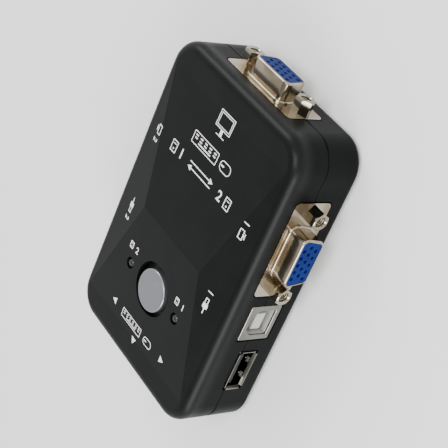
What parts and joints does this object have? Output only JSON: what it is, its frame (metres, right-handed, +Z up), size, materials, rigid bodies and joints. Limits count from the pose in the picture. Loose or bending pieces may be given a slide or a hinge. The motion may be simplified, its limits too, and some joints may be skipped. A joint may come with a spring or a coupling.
{
  "type": "kvm switch",
  "caption": "Small black desk-top box that shares one monitor, keyboard and mouse between computers, with sockets round its walls and a round push-button on a shallow hip roof.",
  "frame": {"origin": "on the table, under the middle of the whole object, sockets included", "axes": "+Z up; +Y towards the monitor socket; +X towards the wall with the first computer's sockets"},
  "size_m": [0.0738, 0.1026, 0.026],
  "materials": {
    "housing_plastic": "fine matte black moulding",
    "board_laminate": "green solder mask",
    "zinc_steel": "zinc-plated steel",
    "foot_rubber": "soft black rubber",
    "nickel_plate": "warm nickel plate, satin",
    "nickel_post": "bright nickel plate",
    "blue_moulding": "blue moulding, satin",
    "black_moulding": "black moulding, satin",
    "white_moulding": "white moulding, satin",
    "gold_contact": "thin gold plate",
    "copper_contact": "copper alloy",
    "tinned_steel": "tinned sheet steel",
    "button_silver": "satin silver-grey",
    "clear_lens": "clear lamp body",
    "chip_moulding": "matte epoxy",
    "capacitor_can": "bare aluminium can"
  },
  "bodies": {
    "housing": {"top_cover": "housing_plastic", "bottom_cover": "housing_plastic", "circuit_board": "board_laminate", "case_screws": "zinc_steel", "rubber_feet": "foot_rubber", "monitor_socket_shell": "nickel_plate", "monitor_socket_insulator": "blue_moulding", "monitor_socket_bracket": "black_moulding", "monitor_socket_contacts": "gold_contact", "monitor_socket_posts": "nickel_post", "port_1_video_shell": "nickel_plate", "port_1_video_insulator": "blue_moulding", "port_1_video_bracket": "black_moulding", "port_1_video_contacts": "gold_contact", "port_1_video_posts": "nickel_post", "port_2_video_shell": "nickel_plate", "port_2_video_insulator": "blue_moulding", "port_2_video_bracket": "black_moulding", "port_2_video_contacts": "gold_contact", "port_2_video_posts": "nickel_post", "port_1_host_shell": "tinned_steel", "port_1_host_insulator": "white_moulding", "port_1_host_contacts": "copper_contact", "port_2_host_shell": "tinned_steel", "port_2_host_insulator": "white_moulding", "port_2_host_contacts": "copper_contact", "right_console_shell": "tinned_steel", "right_console_tongue": "black_moulding", "right_console_contacts": "copper_contact", "left_console_shell": "tinned_steel", "left_console_tongue": "black_moulding", "left_console_contacts": "copper_contact", "end_console_shell": "tinned_steel", "end_console_tongue": "black_moulding", "end_console_contacts": "copper_contact", "switch_base": "black_moulding", "switch_frame": "tinned_steel", "switch_dome": "tinned_steel", "switch_terminals": "tinned_steel", "port_1_light": "clear_lens", "port_2_light": "clear_lens", "light_leads": "tinned_steel", "controller_chip": "chip_moulding", "hub_chip": "chip_moulding", "video_switch_chips": "chip_moulding", "chip_leads": "tinned_steel", "can_capacitors": "capacitor_can", "crystal": "tinned_steel", "resistors": "chip_moulding"},
    "button": {"button_cap": "button_silver", "button_stem": "black_moulding", "switch_plunger": "black_moulding"}
  },
  "joints": [
    {"name": "button_press", "type": "slide", "parent": "housing", "child": "button", "axis": [0, 0, -1], "range_m": [0, 0.0005], "stiffness_N_per_m": 3000, "springref_m": -0.0003, "deforming": ["switch_dome"]}
  ]
}
